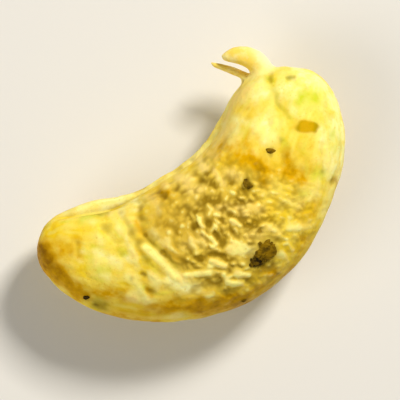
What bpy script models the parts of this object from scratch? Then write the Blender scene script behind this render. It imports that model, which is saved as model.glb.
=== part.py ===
"""Cashew nut: one whole kernel, lying on its flat side, with the root nib still on its end.

A bowed seed of two halves grown together. Their seam shows as a groove in the hollow of the bow, where the
lower half's lip stands a little further out than the upper one's. The root nib curls out of the wider end,
with a thin flap beside it. The kernel rests on a small flat spot under its weight.

Metres, +Z up. +X runs from the narrow end to the end with the nib, +Y from the humped back to the hollow.
The origin is at the bottom centre of the kernel's box. Below, lengths are in millimetres until a point is
placed, measured from the middle of the kernel's outline and from the height of its seam.
"""
import math

import bmesh
import bpy
from mathutils import Vector

MM = 0.001

# Middle line, a bow seen from above: from end to end, and its lowest point and rise
NARROW_END_X = -12.4
NIB_END_X = 12.5
BOW_BOTTOM_X = -0.1
BOW_BOTTOM_Y = -1.2
BOW_RISE = 0.044

# Half sizes at nine even steps along the middle line, before the ends round off
TO_HOLLOW = (5.9, 5.5, 5.3, 5.6, 5.7, 5.8, 6.1, 7.3, 9.5)
TO_BACK = (5.7, 6.1, 6.1, 6.2, 6.4, 6.3, 6.0, 6.2, 5.6)
TO_TOP = (4.0, 4.4, 4.8, 5.1, 5.4, 5.5, 5.4, 5.1, 4.6)
TO_BOTTOM = (3.8, 4.3, 4.8, 5.1, 5.25, 5.2, 5.0, 4.6, 4.2)

# How square the ends are, seen from above and from the side, and how square a cross section is: 2 is round
END_SQUARENESS_PLAN = 2.3
END_SQUARENESS_SIDE = 2.9
SECTION_SQUARENESS = 2.15
LOBE_SQUARENESS = 3.4

# The flat spot that it rests on: its depth below the seam, the width of its rounded edge, and how far
# the lowest line leans from the middle line to the hollow, under the kernel's weight
REST_DEPTH = 4.8
REST_EDGE = 0.1
UNDERSIDE_LEAN = 0.6

# Seam in the hollow: how deep the groove is and how far the upper lip stands back, at nine even steps along
# the middle line, and the angles round the section where they begin and fade
GROOVE_DEPTHS = (0.0, 0.5, 0.7, 0.8, 0.85, 0.85, 0.8, 0.55, 0.0)
UPPER_LIP_INSETS = (0.1, 0.6, 0.5, 0.3, 0.35, 0.5, 0.6, 0.45, 0.0)
GROOVE_ANGLE = 0.085
LIP_STEP_ANGLE = 0.2
LIP_FADE_ANGLES = (0.3, 1.2)

# Creases on the upper face: their lines, depths and half widths
NIB_CREASE = ((10.3, 7.1), (9.7, 6.4), (9.2, 5.0), (9.2, 3.4))
NIB_CREASE_DEPTH = 0.32
NIB_CREASE_WIDTH = 0.55
BELLY_CREASE = ((-4.0, 4.4), (-4.9, 0.7), (-4.5, -2.4))
BELLY_CREASE_DEPTH = 0.2
BELLY_CREASE_WIDTH = 0.6
BELLY_RIDGE_SHIFT = -1.0
BELLY_RIDGE_HEIGHT = 0.14

# Wrinkles across the belly: where they are and how far they reach, their height, the step from one to the
# next and how they lean, and the rows that they break into, with their own length and lean
WRINKLE_CENTRE = (0.4, -2.2)
WRINKLE_REACH = (6.0, 5.0)
WRINKLE_HEIGHT = 0.11
WRINKLE_STEP = 1.6
WRINKLE_LEAN = 0.45
WRINKLE_LENGTH = 2.9
ROW_LEAN = 0.5

# How far wrinkles and rows waver, in radians, and the waves that they waver by: turn for each millimetre
# of x and of y, and share
WRINKLE_WAVER = 1.1
ROW_WAVER = 0.7
WAVER_WAVES = ((0.4, 0.9, 1.0), (-0.7, 2.1, 0.5))

# Broad low swells all over: height, lengths, how the second ones lean, and where each kind starts. The first
# ones start elsewhere on the underside.
SWELL_HEIGHT = 0.09
SWELL_LENGTHS = (9.0, 6.2)
SWELL_LEAN = 0.6
SWELL_STARTS = (1.7, 0.8)

# Root nib and the thin flap beside it: points of the middle line, and half widths and half thicknesses
# there. The first point lies inside the kernel.
NIB_LINE = ((9.3, 5.4, -0.2), (9.65, 7.3, 0.3), (9.45, 8.5, 0.7), (8.6, 9.4, 0.9), (7.35, 9.95, 0.8))
NIB_HALF_WIDTHS = (0.95, 0.92, 0.88, 0.78, 0.5)
NIB_HALF_THICKNESSES = (0.95, 0.9, 0.8, 0.65, 0.4)
FLAP_LINE = ((9.0, 6.0, -0.8), (8.3, 7.6, -0.5), (7.3, 9.0, -0.2), (6.35, 10.1, 0.0))
FLAP_HALF_WIDTHS = (0.45, 0.38, 0.32, 0.26)
FLAP_HALF_THICKNESSES = (0.6, 0.6, 0.55, 0.4)

# Share of a lobe's length, to each side of a place, over which its direction there is measured
DIRECTION_STEP = 0.01

# Mesh density, with the sides gathered at the seam
KERNEL_SIDES = 60
KERNEL_RINGS = 72
GATHER_AT_SEAM = 0.58
NIB_SIDES = 14
NIB_RINGS = 14
FLAP_SIDES = 10
FLAP_RINGS = 12
WELD_DISTANCE = 0.03

SKIN_COLOUR = (0.78, 0.58, 0.13, 1.0)
SKIN_ROUGHNESS = 0.48


def ramp(low, high, value):
    """Smooth step from 0 at low to 1 at high."""
    share = min(max((value - low) / (high - low), 0.0), 1.0)
    return share * share * (3.0 - 2.0 * share)


def between(values, share):
    """Smooth curve through evenly spaced values, numbers or vectors, read at a share of its length."""
    last = len(values) - 1
    index = min(int(share * last), last - 1)
    part = share * last - index
    second = values[index]
    third = values[index + 1]
    first = values[index - 1] if index > 0 else second + second - third
    fourth = values[index + 2] if index + 2 <= last else third + third - second
    slope = third - first
    bend = first * 2.0 - second * 5.0 + third * 4.0 - fourth
    twist = second * 3.0 - third * 3.0 + fourth - first
    return second + (slope * part + bend * part ** 2 + twist * part ** 3) * 0.5


def rounded(lengthwise, squareness):
    """Size of a rounded body at a place from -1 to 1 along it, as a share of its full size."""
    return max(1.0 - abs(lengthwise) ** squareness, 0.0) ** (1.0 / squareness)


def squared(value, squareness):
    """Sine or cosine of a superellipse, which keeps its sign."""
    return math.copysign(abs(value) ** (2.0 / squareness), value)


def distance_to_line(x, y, points):
    """Shortest distance, seen from above, from a place to a line of straight pieces."""
    place = Vector((x, y))
    nearest = math.inf
    for start, end in zip(points, points[1:]):
        along = Vector(end) - Vector(start)
        share = (place - Vector(start)).dot(along) / along.length_squared
        foot = Vector(start) + along * min(max(share, 0.0), 1.0)
        nearest = min(nearest, (place - foot).length)
    return nearest


def hump(distance, half_width):
    """Soft rounded ridge profile: 1 on its line, fading to 0 at about twice its half width."""
    return math.exp(-(distance / half_width) ** 2)


def seam_inset(along, angle):
    """How far the side in the hollow draws in at the seam: the groove, and the upper lip above it."""
    groove = between(GROOVE_DEPTHS, along) * hump(angle, GROOVE_ANGLE)
    step = ramp(0.0, LIP_STEP_ANGLE, angle) * (1.0 - ramp(*LIP_FADE_ANGLES, angle))
    return groove + between(UPPER_LIP_INSETS, along) * step


def creases(x, y):
    """Height of the two creases on the upper face, and of the ridge beside the longer one."""
    by_nib = -NIB_CREASE_DEPTH * hump(distance_to_line(x, y, NIB_CREASE), NIB_CREASE_WIDTH)
    on_belly = -BELLY_CREASE_DEPTH * hump(distance_to_line(x, y, BELLY_CREASE), BELLY_CREASE_WIDTH)
    beside = distance_to_line(x - BELLY_RIDGE_SHIFT, y, BELLY_CREASE)
    return by_nib + on_belly + BELLY_RIDGE_HEIGHT * hump(beside, BELLY_CREASE_WIDTH)


def wrinkles(x, y):
    """Height of the short wavering wrinkles that cross the belly, each row shifted from the next."""
    across = (x - WRINKLE_CENTRE[0]) / WRINKLE_REACH[0]
    up = (y - WRINKLE_CENTRE[1]) / WRINKLE_REACH[1]
    patch = math.exp(-(across ** 2 + up ** 2) ** 2)
    waver = WRINKLE_WAVER * sum(share * math.sin(by_x * x + by_y * y) for by_x, by_y, share in WAVER_WAVES)
    row = math.cos(math.tau * (y - ROW_LEAN * x) / WRINKLE_LENGTH + ROW_WAVER * waver)
    return WRINKLE_HEIGHT * patch * row * math.sin(math.tau * (x + WRINKLE_LEAN * y) / WRINKLE_STEP + waver)


def swells(x, y, side):
    """Height of the broad low swells, on the upper side, 1, or the underside, -1."""
    long_swell = math.sin(math.tau * x / SWELL_LENGTHS[0] + SWELL_STARTS[0] * side)
    short_swell = math.sin(math.tau * (y + SWELL_LEAN * x) / SWELL_LENGTHS[1] + SWELL_STARTS[1])
    return SWELL_HEIGHT * long_swell * short_swell


def press_flat(height):
    """Flat spot underneath: heights below the resting plane are brought up to it, with a soft edge."""
    above = height + REST_DEPTH
    if above <= 0.0:
        return -REST_DEPTH
    if above < REST_EDGE:
        return above ** 2 / (2.0 * REST_EDGE) - REST_DEPTH
    return above - REST_EDGE / 2.0 - REST_DEPTH


def kernel_point(lengthwise, turn):
    """Place on the kernel's skin, from -1 to 1 along it and by the turn round it from the hollow's seam."""
    along = (1.0 + lengthwise) / 2.0
    middle_x = NARROW_END_X + (NIB_END_X - NARROW_END_X) * along
    middle_y = BOW_BOTTOM_Y + BOW_RISE * (middle_x - BOW_BOTTOM_X) ** 2
    to_hollow = Vector((-2.0 * BOW_RISE * (middle_x - BOW_BOTTOM_X), 1.0)).normalized()

    angle = turn - GATHER_AT_SEAM * math.sin(turn)
    sideways = squared(math.cos(angle), SECTION_SQUARENESS)
    upward = squared(math.sin(angle), SECTION_SQUARENESS)
    if sideways > 0.0:
        half_width = between(TO_HOLLOW, along) - seam_inset(along, angle)
    else:
        half_width = between(TO_BACK, along)
    half_height = between(TO_TOP, along) if upward > 0.0 else between(TO_BOTTOM, along)

    plan_size = rounded(lengthwise, END_SQUARENESS_PLAN)
    side_size = rounded(lengthwise, END_SQUARENESS_SIDE)
    lean = UNDERSIDE_LEAN * min(upward, 0.0) ** 2
    reach = plan_size * (half_width * sideways + lean)
    x = middle_x + reach * to_hollow.x
    y = middle_y + reach * to_hollow.y
    height = side_size * half_height * upward
    if upward > 0.0:
        height += upward * side_size * (creases(x, y) + wrinkles(x, y))
    height += upward * side_size * swells(x, y, math.copysign(1.0, upward))
    return Vector((x, y, press_flat(height)))


def lobe_point(line, half_widths, half_thicknesses, lengthwise, turn):
    """Place on a slim rounded lobe that follows a line of points and lies flat."""
    along = (1.0 + lengthwise) / 2.0
    middle = between([Vector(point) for point in line], along)
    before = between([Vector(point) for point in line], max(along - DIRECTION_STEP, 0.0))
    after = between([Vector(point) for point in line], min(along + DIRECTION_STEP, 1.0))
    sideways = (after - before).cross(Vector((0.0, 0.0, 1.0))).normalized() * -1.0
    upward = (after - before).cross(sideways).normalized()
    size = rounded(lengthwise, LOBE_SQUARENESS)
    width = size * between(half_widths, along) * math.cos(turn)
    thickness = size * between(half_thicknesses, along) * math.sin(turn)
    return middle + sideways * width + upward * thickness


def rounded_body(name, sides, rings, place, collection):
    """Sphere whose points are moved to where place(lengthwise, turn) says."""
    mesh = bpy.data.meshes.new(name)
    body = bmesh.new()
    bmesh.ops.create_uvsphere(body, u_segments=sides, v_segments=rings, radius=1.0)
    for vertex in body.verts:
        lengthwise = min(max(vertex.co.z, -1.0), 1.0)
        turn = math.atan2(vertex.co.y, vertex.co.x)
        vertex.co = place(lengthwise, turn) * MM
    bmesh.ops.recalc_face_normals(body, faces=body.faces)
    body.to_mesh(mesh)
    body.free()
    thing = bpy.data.objects.new(name, mesh)
    collection.objects.link(thing)
    return thing


def fuse(body, additions):
    """Joins the additions to the body with one Boolean union, welds its slivers, and removes them."""
    joined = body.modifiers.new("grown on", 'BOOLEAN')
    joined.operation = 'UNION'
    joined.solver = 'EXACT'
    joined.operand_type = 'COLLECTION'
    joined.collection = additions
    view = bpy.context.evaluated_depsgraph_get()
    mesh = bpy.data.meshes.new_from_object(body.evaluated_get(view))
    body.modifiers.remove(joined)
    welded = bmesh.new()
    welded.from_mesh(mesh)
    bmesh.ops.remove_doubles(welded, verts=welded.verts, dist=WELD_DISTANCE * MM)
    welded.to_mesh(mesh)
    welded.free()
    body.data = mesh
    for thing in list(additions.objects):
        bpy.data.objects.remove(thing)
    bpy.data.collections.remove(additions)


def stand_on_origin(thing):
    """Moves the mesh so that the bottom centre of its box is at the origin."""
    corners = [vertex.co for vertex in thing.data.vertices]
    low = Vector([min(corner[axis] for corner in corners) for axis in range(3)])
    high = Vector([max(corner[axis] for corner in corners) for axis in range(3)])
    shift = Vector(((low.x + high.x) / 2.0, (low.y + high.y) / 2.0, low.z))
    for vertex in thing.data.vertices:
        vertex.co -= shift


def skin_material():
    """Pale yellow, faintly oily skin."""
    material = bpy.data.materials.new("kernel skin")
    material.use_nodes = True
    shader = material.node_tree.nodes["Principled BSDF"]
    shader.inputs["Base Color"].default_value = SKIN_COLOUR
    shader.inputs["Roughness"].default_value = SKIN_ROUGHNESS
    shader.inputs["Metallic"].default_value = 0.0
    return material


def new_collection(name):
    collection = bpy.data.collections.new(name)
    bpy.context.scene.collection.children.link(collection)
    return collection


def build():
    for thing in list(bpy.data.objects):
        bpy.data.objects.remove(thing)

    nut = new_collection("cashew_nut")
    additions = new_collection("additions")

    def nib_point(lengthwise, turn):
        return lobe_point(NIB_LINE, NIB_HALF_WIDTHS, NIB_HALF_THICKNESSES, lengthwise, turn)

    def flap_point(lengthwise, turn):
        return lobe_point(FLAP_LINE, FLAP_HALF_WIDTHS, FLAP_HALF_THICKNESSES, lengthwise, turn)

    kernel = rounded_body("kernel", KERNEL_SIDES, KERNEL_RINGS, kernel_point, nut)
    rounded_body("nib", NIB_SIDES, NIB_RINGS, nib_point, additions)
    rounded_body("flap", FLAP_SIDES, FLAP_RINGS, flap_point, additions)
    fuse(kernel, additions)
    stand_on_origin(kernel)

    kernel.data.materials.clear()
    kernel.data.materials.append(skin_material())
    kernel.data.shade_smooth()


build()
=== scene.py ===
"""Looks of the whole cashew kernel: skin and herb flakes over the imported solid, floor, lights and camera.

The frame is in metres. The skin is worked in millimetres, in the kernel's own outline frame: +X to the end
with the nib, +Y to the hollow of the bow, +Z up, from the middle of the outline at the height of the seam.
"""
import math
import random

import bmesh
import bpy
import numpy as np
from mathutils import Color, Matrix, Vector, noise
from mathutils.bvhtree import BVHTree


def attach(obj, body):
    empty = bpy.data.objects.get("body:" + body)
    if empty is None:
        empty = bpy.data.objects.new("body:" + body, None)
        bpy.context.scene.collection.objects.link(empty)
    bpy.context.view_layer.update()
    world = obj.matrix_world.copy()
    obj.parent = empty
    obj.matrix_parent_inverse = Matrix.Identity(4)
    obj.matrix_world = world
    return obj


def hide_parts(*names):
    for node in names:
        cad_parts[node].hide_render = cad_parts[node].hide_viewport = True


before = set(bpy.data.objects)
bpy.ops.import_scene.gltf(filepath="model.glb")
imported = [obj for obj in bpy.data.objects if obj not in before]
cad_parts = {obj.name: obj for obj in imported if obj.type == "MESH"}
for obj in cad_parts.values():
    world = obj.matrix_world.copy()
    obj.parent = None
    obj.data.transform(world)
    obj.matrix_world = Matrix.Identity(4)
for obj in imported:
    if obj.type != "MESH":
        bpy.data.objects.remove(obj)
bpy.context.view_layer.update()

MM = 0.001
SEED = 7

# Middle of the outline at the seam's height, in the frame, in millimetres
OUTLINE_MIDDLE = Vector((-0.05, -1.33, 4.8))

# Fine mesh of the skin
WELD_DISTANCE = 0.001
VOXEL_SIZE = 0.234
SMOOTH_FACTOR = 0.5
SMOOTH_ROUNDS = 5

# The kernel's bow, seen from above, and the rounds that find the nearest place on it
BOW_BOTTOM_X = -0.1
BOW_BOTTOM_Y = -1.2
BOW_RISE = 0.044
FOOT_ROUNDS = 5

# How far the skin faces up or down where the flank ends and where the face is reached
FACE_LEAN = (0.1, 0.5)

# Noise over the skin: coordinates, size and seed, then share, size and seed of finer noise in it.
# The bow's coordinates run along the bow, across it and up. The leaning ones lie as the grains do.
NOISE = {
    "small": ("frame", 0.45, 8),
    "medium": ("frame", 1.3, 7),
    "broad": ("frame", 3.2, 6),
    "dents": ("frame", 0.8, 21),
    "streaks": ("bow", (6.25, 0.5, 0.5), 20),
    "flank folds": ("bow", (1.1, 1.0 / 0.35, 1.0 / 0.35), 19),
    "upper folds": ("leaning", (0.7, 3.2, 3.0), 3),
    "lower folds": ("leaning", (0.8, 3.0, 9.0), 4),
    "grain bend": ("frame", 2.0, 1),
    "placed": ("frame", 0.5, 27),
    "seam wave": ("frame", 3.0, 5),
    "wander x": ("frame", 1.2, 11, 0.4, 0.5, 12),
    "wander y": ("frame", 1.2, 13, 0.4, 0.5, 14),
    "ragged": ("frame", 0.9, 22, 0.5, 0.4, 23),
    "seen": ("frame", 1.5, 25),
    "mottle": ("frame", 0.7, 26),
    "fibre": ("bow", (4.0, 0.42, 0.42), 24),
    "hidden toast": ("frame", 3.2, 15, 0.4, 1.1, 16),
    "hidden pale": ("frame", 2.8, 17),
    "hidden green": ("frame", 2.2, 18),
}
FOLD_LEAN = 0.4

# How far apart the seeds' noises lie, and what turns a cell's column, row and seed into a chance
SEED_STEP = np.array((17.3, 5.1, -9.7))
CHANCE_STEPS = (12.9898, 78.233, 37.719)
CHANCE_SCALE = 43758.5453

# Middle and reach of the belly's grains, of fainter ones beside them, and of the folds around
GRAIN_PATCH = (0.7, -1.7, 4.7, 5.2)
FAINT_GRAIN_PATCH = (5.2, -2.2, 2.8, 4.2)
FAINT_GRAIN_SHARE = 0.5
FOLD_PATCH = (-0.2, -1.0, 7.4, 6.2)

# Where the skin is olive: the belly, and fainter on the wide end
OLIVE_PATCH = (-0.8, -0.8, 5.4, 5.5)
FAINT_OLIVE_PATCH = (7.8, 1.2, 3.8, 4.6)
FAINT_OLIVE_SHARE = 0.35
UNDER_OLIVE_SHARE = 0.7

# Grains of the belly: spacing, half lengths, half widths, and how far their angles spread
LONG_GRAINS = (0.62, (0.2, 0.5), (0.13, 0.22), math.radians(50.0))
SMALL_GRAINS = (0.43, (0.13, 0.26), (0.1, 0.15), math.radians(120.0))

# Cells round a place whose grains can reach it
NEAR_CELLS = range(-2, 3)

# Heights of the grains, the shares that each may have, and the share that is sunk in the skin
LONG_GRAIN_HEIGHT = 0.18
SMALL_GRAIN_HEIGHT = 0.1
GRAIN_HEIGHTS = (0.35, 1.0)
UPPER_GRAINS_SUNK = 0.4
UNDER_GRAINS_SUNK = 0.42

# How the grains lie: their angle, how far and where it turns to the back and the nib, and the rows' bend
GRAIN_ANGLE = math.radians(-74.0)
GRAIN_TURN = math.radians(36.0)
TURN_TO_BACK_Y = (0.0, -5.5)
TURN_TO_NIB_X = (1.0, 2.6)
GRAIN_BEND = 0.15

# Grains towards the hollow: where and how much they get shorter and wider, and where and how much lower
ROUNDER_Y = (-1.0, 1.5)
ROUNDER_SHORTER = 0.4
ROUNDER_WIDER = 0.5
HOLLOW_CALM_Y = (0.0, 2.0)
HOLLOW_CALM = 0.25

# The lower face has the same grains from elsewhere in their pattern
SHIFT_BELOW = (47.0, -19.0)

# Shares of the grains in the patch of folds and on the lower face, and heights of the soft folds
UPPER_FOLD_GRAINS = 0.25
UNDER_GRAINS = 0.6
UNDER_FOLD_GRAINS = 0.2
UPPER_FOLD_HEIGHT = 0.08
UNDER_FOLD_HEIGHT = 0.14
FLANK_FOLD_HEIGHT = 0.05

# Heights of the noises on the kernel and the nib, the dents' depth, and the noise that makes one
KERNEL_HEIGHTS = {"broad": 0.05, "medium": 0.045, "small": 0.016, "streaks": 0.025}
NIB_HEIGHTS = {"medium": 0.03, "small": 0.012}
DENT_DEPTH = 0.03
DENT_NOISE = (0.25, 0.6)

# How far the lines of the relief wander with the marks, how uneven they are, and how they thin the grains
RELIEF_WANDER = 0.6
RELIEF_UNEVEN = 0.4
CROWDING = 0.75
CROWDING_HEIGHT = 0.1

# Ridges, creases, bumps and pits of the upper face: height, half width, and x and y along each
RELIEF_LINES = (
    (0.1, 0.3, -5.6, 0.5, -5.3, -0.5, -5.0, -1.6, -4.75, -2.8), (0.05, 0.45, -4.8, -3.0, -4.4, -3.9),
    (0.06, 0.32, -6.4, 4.0, -6.5, 2.2, -6.6, 0.1), (-0.05, 0.3, -5.7, 3.8, -5.8, 1.6, -6.0, -0.6),
    (-0.04, 0.35, -7.3, 3.3, -7.4, 1.0), (0.04, 0.35, -8.0, 4.2, -8.2, 2.6),
    (0.04, 0.3, -7.9, -0.7, -7.7, -1.5), (0.07, 0.34, -7.6, -2.1, -7.5, -3.1),
    (0.08, 0.3, -6.3, -1.5, -6.2, -2.3), (0.05, 0.6, -9.2, 1.5, -8.1, 0.6),
    (0.13, 0.3, -3.9, -3.05, -3.2, -3.45, -2.4, -3.9), (0.05, 0.34, -3.9, 2.6, -4.2, 1.2),
    (0.05, 0.34, -4.1, 0.1, -4.0, -0.8, -3.7, -1.4), (0.02, 0.3, -2.9, 2.2, -2.6, 0.6, -2.3, -0.8),
    (0.13, 0.26, -1.7, -3.2, -1.05, -4.05), (0.13, 0.25, -0.55, -5.0, 0.15, -5.65),
    (0.11, 0.25, -1.6, -5.3, -0.75, -5.8), (0.1, 0.22, -1.5, -4.6, -1.45, -5.0),
    (0.15, 0.24, 1.35, -1.4, 1.6, -2.0), (0.1, 0.21, -0.8, 0.1, -0.85, -0.5),
    (0.12, 0.22, -0.75, -1.6, -0.7, -2.2), (0.12, 0.5, 0.1, -3.2, 1.0, -3.75),
    (0.1, 0.28, 3.2, -5.5, 3.3, -5.9), (0.1, 0.34, 4.8, -4.2, 5.3, -4.5), (0.08, 0.2, 4.0, -5.2, 4.1, -5.8),
    (0.1, 0.34, -8.6, -2.1, -8.2, -2.4), (0.05, 0.45, 7.0, 3.6, 7.6, 2.6),
    (-0.05, 0.22, -4.0, 4.2, -4.2, 3.2, -4.75, 2.2, -4.95, 1.3),
    (-0.1, 0.18, -4.95, 1.3, -4.9, 0.6, -4.65, -0.6), (-0.08, 0.21, -4.65, -0.6, -4.35, -1.8, -4.1, -2.5),
    (-0.07, 0.3, -3.9, -4.2, -3.2, -4.6, -2.2, -4.9), (-0.15, 0.21, -2.6, -2.3, -2.3, -2.7),
    (-0.16, 0.2, -1.65, -2.7, -1.1, -3.0, -0.65, -3.4), (-0.15, 0.24, -1.45, -0.2, -1.3, -0.2),
    (-0.11, 0.2, -0.35, -0.35, -0.28, -0.6), (0.09, 0.24, -0.45, -1.1, -0.05, -1.0),
    (-0.1, 0.2, -0.2, -1.5, -0.22, -1.8), (-0.12, 0.18, 1.4, -0.85, 1.55, -1.0),
    (-0.1, 0.18, 1.45, -3.6, 1.55, -3.7), (-0.08, 0.22, -1.2, 1.5, -1.1, 1.3),
    (-0.07, 0.2, -0.45, 1.3, -0.35, 1.2), (-0.03, 0.2, 0.65, 1.1, 0.75, 0.9),
    (0.07, 0.2, 0.3, 0.6, 0.45, 0.2), (0.07, 0.18, 0.95, 0.3, 1.1, 0.1), (0.07, 0.2, 1.15, 1.35, 1.25, 1.15),
    (0.06, 0.24, -1.7, 3.8, -1.6, 3.5), (0.06, 0.28, -0.4, 3.7, 0.0, 3.0), (0.06, 0.26, 1.6, 4.0, 1.7, 3.3),
    (0.05, 0.24, 2.3, 2.6, 2.1, 1.5), (0.08, 0.3, 1.9, 1.1, 2.5, 0.8), (0.09, 0.26, -2.3, -1.0, -2.2, -2.0),
    (0.06, 0.26, 2.9, -1.2, 3.4, -1.7), (0.04, 0.26, 3.2, -3.4, 3.9, -3.9),
    (-0.03, 0.24, 1.55, 1.7, 1.65, 1.5), (-0.1, 0.26, -2.4, 3.6, -2.1, 3.0),
    (-0.02, 0.24, 1.05, 2.6, 1.15, 2.2), (-0.1, 0.3, -7.1, -2.3, -6.9, -2.9),
    (-0.09, 0.2, -6.8, -1.2, -6.7, -1.4), (-0.05, 0.26, -9.9, 3.5, -10.2, 2.7),
    (-0.04, 0.24, 10.1, 7.0, 9.5, 5.8, 9.15, 4.6, 9.3, 3.2), (-0.04, 0.24, 10.1, 6.7, 9.8, 6.2),
    (-0.08, 0.22, 10.9, 5.8, 11.3, 5.5), (0.03, 0.3, 9.2, 7.0, 8.9, 6.0), (0.03, 0.4, 10.0, 5.4, 10.6, 5.0),
    (0.04, 0.25, 3.2, 4.3, 5.0, 5.4), (0.04, 0.25, 4.2, 5.1, 6.4, 6.7), (-0.03, 0.2, 3.6, 4.9, 5.8, 6.3),
    (0.03, 0.2, 10.5, -0.5, 10.0, -1.8, 9.0, -3.2), (-0.03, 0.18, 10.0, -0.6, 9.5, -1.8, 8.6, -3.0),
    (0.03, 0.2, 9.5, -0.8, 9.0, -1.9, 8.1, -3.0), (0.11, 0.3, -6.5, -5.35, -6.1, -5.5),
    (-0.06, 0.3, 9.55, -2.9, 9.65, -3.1),
)

# Seam, deeper in the hollow than round the back, which fades where the skin faces up or down
SEAM_DEPTH_HOLLOW = 0.22
SEAM_DEPTH_BACK = 0.05
SEAM_HALF_WIDTH = 0.15
SEAM_WAVE = 0.12
SEAM_FADE = (0.85, 0.55)
HOLLOW_SIDE = (1.5, 3.5)

# Lip of the lower half along both limbs: it stands out on the left and draws back on the right
LIP_LEFT_X = (-3.8, -7.2)
LIP_RIGHT_X = (3.2, 4.6)
LIP_RIGHT_SHARE = 0.1
LIP_HEIGHT = 0.14
LIP_RIGHT_DEPTH = 0.16
LIP_MIDDLE = -0.55
LIP_HALF_WIDTH = 0.5
LIP_FADE = (0.95, 0.7)
LIP_SEAM_CALM = 0.5

# Edge of the upper half over the lip
EDGE_DEPTH = 1.0
EDGE_MIDDLE = 0.85
EDGE_HALF_WIDTH = 1.1

# Paleness of the lip, and its painted highlight, which brightens it from the seam down
PALE_LIP = 0.7
PALE_LIP_HALF_WIDTH = 0.6
LIP_HIGHLIGHT = 0.7
LIP_HIGHLIGHT_Z = (0.25, -0.15)

# Line where the nib and the flap leave the kernel, how they fade over it, and where the nib turns yellow
NIB_ROOT = (9.6, 7.3)
NIB_ROOT_SLOPE = 0.25
NIB_ROOT_FADE = (-0.5, 0.5)
NIB_MIDDLE_X = 8.3
NIB_REACH = (3.4, 2.4)
NIB_YELLOW_X = (10.6, 9.1)

# Shares that colour the skin, kept as attributes
SHARES = ("toast", "pale", "peach_and_highlight", "green", "stain_and_shade", "seam_shade_and_brown_tip", "relief", "belly", "nib", "tip", "scrap",
          "scrap_end", "fibre")

# Coloured marks of the upper face: strength, half width, and x and y along each, or of its place
# Toasted gold and brown, which along the lower edge and at the narrow end also paint the shade where the
# skin turns away from the light
TOAST_AND_EDGE_SHADE_MARKS = (
    (2.3, 0.75, -12.8, 4.5, -12.7, 3.5), (1.6, 0.65, -12.7, 3.3, -12.5, 2.4),
    (0.8, 0.85, -12.6, 4.7, -11.3, 4.0, -11.0, 3.5), (0.4, 0.26, -10.6, 3.5, -10.5, 3.3),
    (0.5, 0.26, -9.9, 3.5, -9.8, 3.3), (0.6, 0.2, -9.95, 3.95), (0.4, 0.22, -10.25, 2.8, -10.2, 2.6),
    (1.2, 0.65, -12.5, 2.1, -12.1, 1.1, -11.9, 0.3), (0.7, 0.5, -11.1, -0.3, -10.0, -1.0, -8.9, -1.7),
    (0.3, 0.8, -10.8, -1.8, -9.8, -2.8, -8.4, -3.9), (0.6, 0.35, -10.9, -2.3, -9.4, -3.9, -7.9, -5.0),
    (0.85, 0.5, -7.8, -3.7, -7.3, -4.0, -6.4, -4.6), (0.9, 0.65, -6.6, -4.5, -5.4, -5.0, -4.3, -5.6),
    (0.8, 0.22, -7.0, -2.5, -7.1, -3.1), (0.4, 0.25, -6.9, -1.6, -6.7, -2.0),
    (0.5, 0.3, -5.2, 2.5, -5.0, 1.4), (1.1, 0.8, -4.4, -5.9, -3.0, -6.5, -1.7, -7.1),
    (0.8, 0.6, -1.3, -7.2, 0.4, -7.3), (0.8, 0.4, 1.3, -6.1, 2.1, -6.5), (0.7, 0.5, 1.4, -7.3, 3.4, -7.1),
    (0.6, 0.3, -2.4, 3.6, -2.0, 3.1), (0.3, 0.7, -2.6, 3.5, -1.6, 3.0),
    (0.3, 1.1, -3.3, 1.9, -2.8, 0.6, -2.8, -0.4), (0.3, 0.5, -4.2, -0.2, -3.8, -1.6),
    (0.7, 0.9, 3.7, 3.9, 4.4, 2.7), (0.25, 0.6, 5.0, 2.9, 4.6, 1.6),
    (0.9, 0.6, 5.3, 1.7, 5.4, 0.8, 5.2, 0.1), (0.6, 0.45, 7.7, 0.8, 7.5, 0.3),
    (0.75, 0.6, 7.2, -0.5, 7.6, -1.4), (0.4, 0.4, 6.2, -0.1, 6.7, -0.5), (0.3, 0.3, 8.8, -0.6, 8.7, -1.2),
    (0.3, 0.3, 8.8, 0.7, 8.7, 0.2), (0.2, 0.9, 5.9, 1.2, 6.9, 0.1, 7.1, -1.2),
    (0.4, 0.3, 5.6, 3.5, 5.5, 2.8), (0.2, 0.8, 7.3, 5.6, 8.0, 5.0), (0.25, 0.45, 6.0, 3.8, 6.0, 3.3),
    (0.4, 0.8, 6.5, -3.9, 7.4, -4.0), (0.6, 0.28, 5.2, -5.4, 5.5, -5.5), (0.4, 0.7, 4.4, -6.3, 5.4, -5.9),
    (0.5, 0.25, 9.7, -3.0, 9.9, -3.1),
)
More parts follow.
